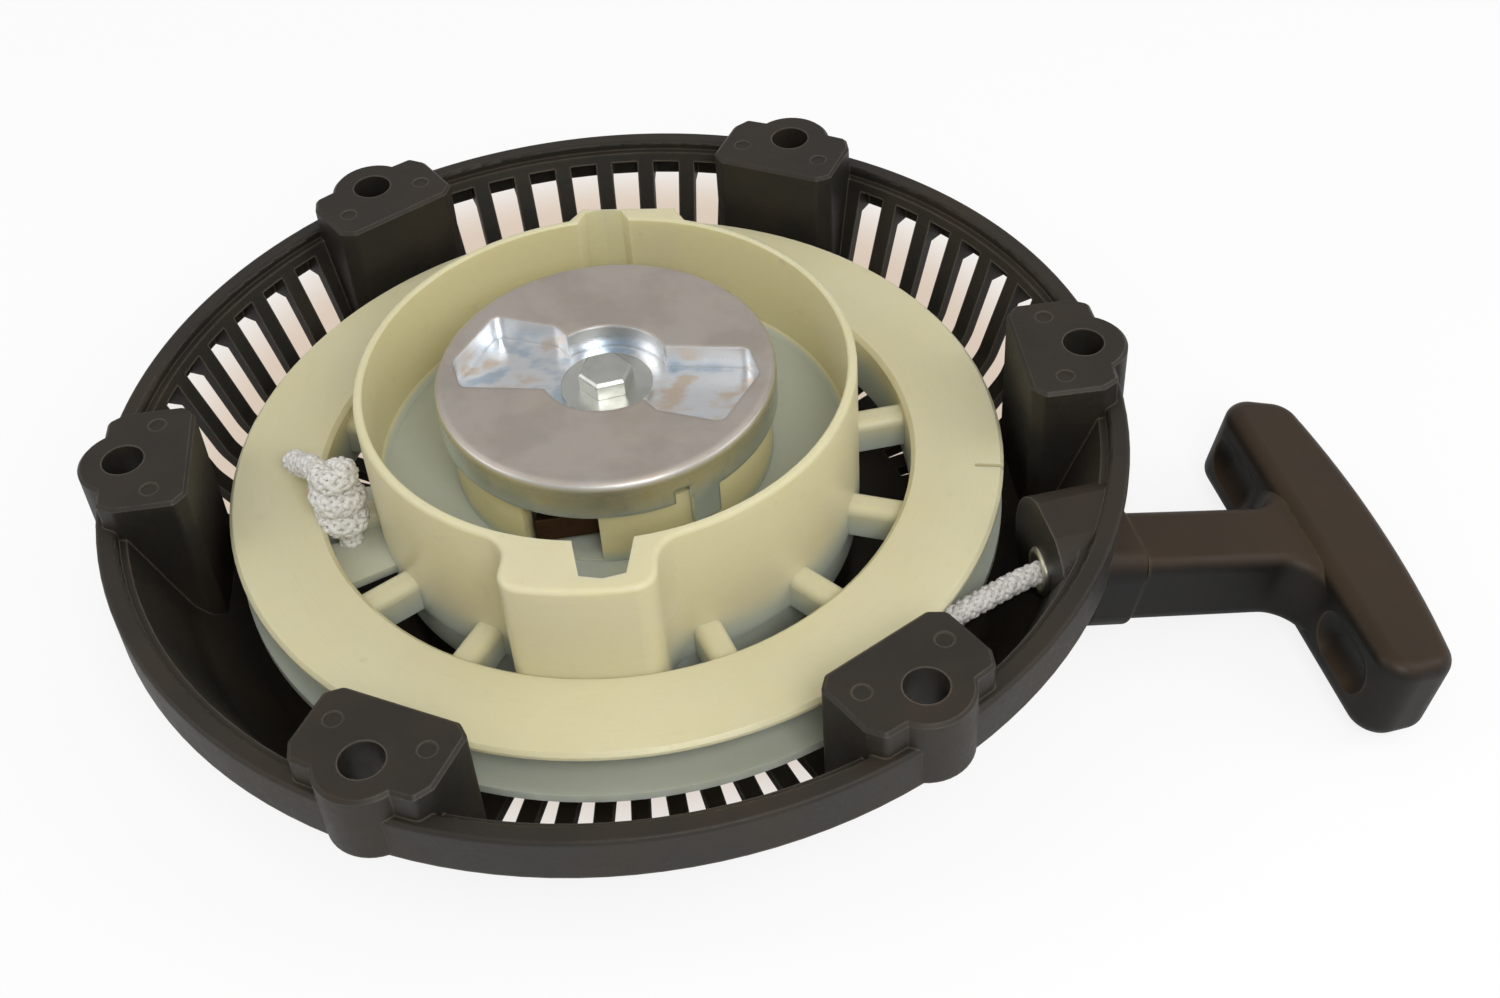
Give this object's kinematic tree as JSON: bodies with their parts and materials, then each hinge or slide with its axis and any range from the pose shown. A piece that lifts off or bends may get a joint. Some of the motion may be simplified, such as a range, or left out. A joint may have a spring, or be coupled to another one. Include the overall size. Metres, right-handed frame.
{
  "type": "recoil starter",
  "caption": "Recoil starter for a small engine: dark vented housing with bolt lugs, ivory rope drum, zinc guide plate, white cord and black T-grip",
  "frame": {"origin": "centre of the engine bolt circle, on the plane of the lug faces that meet the engine", "axes": "+Z points out of the open side towards the engine along the drum's axis, +X to the side the cord and grip leave, +Y completes the right-handed frame"},
  "size_m": [0.2851, 0.2244, 0.0598],
  "materials": {
    "housing_plastic": "moulded glass-filled nylon, brown-black, dull with worn edges",
    "drum_nylon": "moulded natural nylon, ivory, slightly translucent",
    "zinc_steel": "pressed steel, bright zinc plated",
    "spring_steel": "hardened spring strip and wire, oiled",
    "pawl_steel": "hardened steel, dark brown oxide",
    "eyelet_steel": "turned steel, polished",
    "brass_insert": "knurled brass insert",
    "bush_bronze": "sintered bronze bearing bush",
    "rope": "white diamond-braided nylon starter cord",
    "grip_rubber": "black moulded grip, semi-gloss"
  },
  "bodies": {
    "housing": {"housing": "housing_plastic", "post_insert": "brass_insert", "eyelet": "eyelet_steel", "rope_run": "rope", "centre_bolt": "zinc_steel", "bolt_washer": "zinc_steel", "thrust_washer": "zinc_steel", "friction_spring": "spring_steel"},
    "drum": {"drum": "drum_nylon", "drum_bush": "bush_bronze", "rope_winding": "rope", "rope_knot": "rope", "pawl_pins": "zinc_steel", "pawl_springs": "spring_steel", "recoil_spring": "spring_steel"},
    "pawl_a": {"pawl_a": "pawl_steel"},
    "pawl_b": {"pawl_b": "pawl_steel"},
    "guide": {"guide_plate": "zinc_steel"},
    "rope_end": {"rope_lead": "rope"},
    "handle": {"grip": "grip_rubber", "rope_tail": "rope", "handle_knot": "rope", "knot_washer": "zinc_steel"}
  },
  "joints": [
    {"name": "drum_spin", "type": "hinge", "parent": "housing", "child": "drum", "pos_m": [0, 0, -0.0224], "axis": [0, 0, 1], "range_deg": [0, 1350], "stiffness_Nm_per_rad": 0.035, "springref_deg": -1145.92, "deforming": ["rope_winding", "recoil_spring"]},
    {"name": "handle_pull", "type": "slide", "parent": "housing", "child": "rope_end", "axis": [0.9833, 0.1822, 0], "range_m": [0, 1.762], "deforming": ["rope_lead"]},
    {"name": "handle_tilt", "type": "hinge", "parent": "rope_end", "child": "handle", "pos_m": [0.09172, -0.03856, -0.02235], "axis": [0.1822, -0.9833, 0], "range_deg": [0, 13.5]},
    {"name": "guide_turn", "type": "hinge", "parent": "drum", "child": "guide", "pos_m": [0, 0, 0.005], "axis": [0, 0, 1], "range_deg": [-24, 0]},
    {"name": "pawl_a_swing", "type": "hinge", "parent": "drum", "child": "pawl_a", "pos_m": [0.00256, -0.02437, -0.009], "axis": [0, 0, 1], "range_deg": [0, 26.1]},
    {"name": "pawl_b_swing", "type": "hinge", "parent": "drum", "child": "pawl_b", "pos_m": [-0.00256, 0.02437, -0.009], "axis": [0, 0, 1], "range_deg": [0, 26.1]}
  ],
  "couplings": [
    {"joint": "handle_pull", "follows": "drum_spin", "m_per_rad": 0.0747},
    {"joint": "pawl_a_swing", "follows": "guide_turn", "ratio": -1.0833},
    {"joint": "pawl_b_swing", "follows": "guide_turn", "ratio": -1.0833}
  ]
}
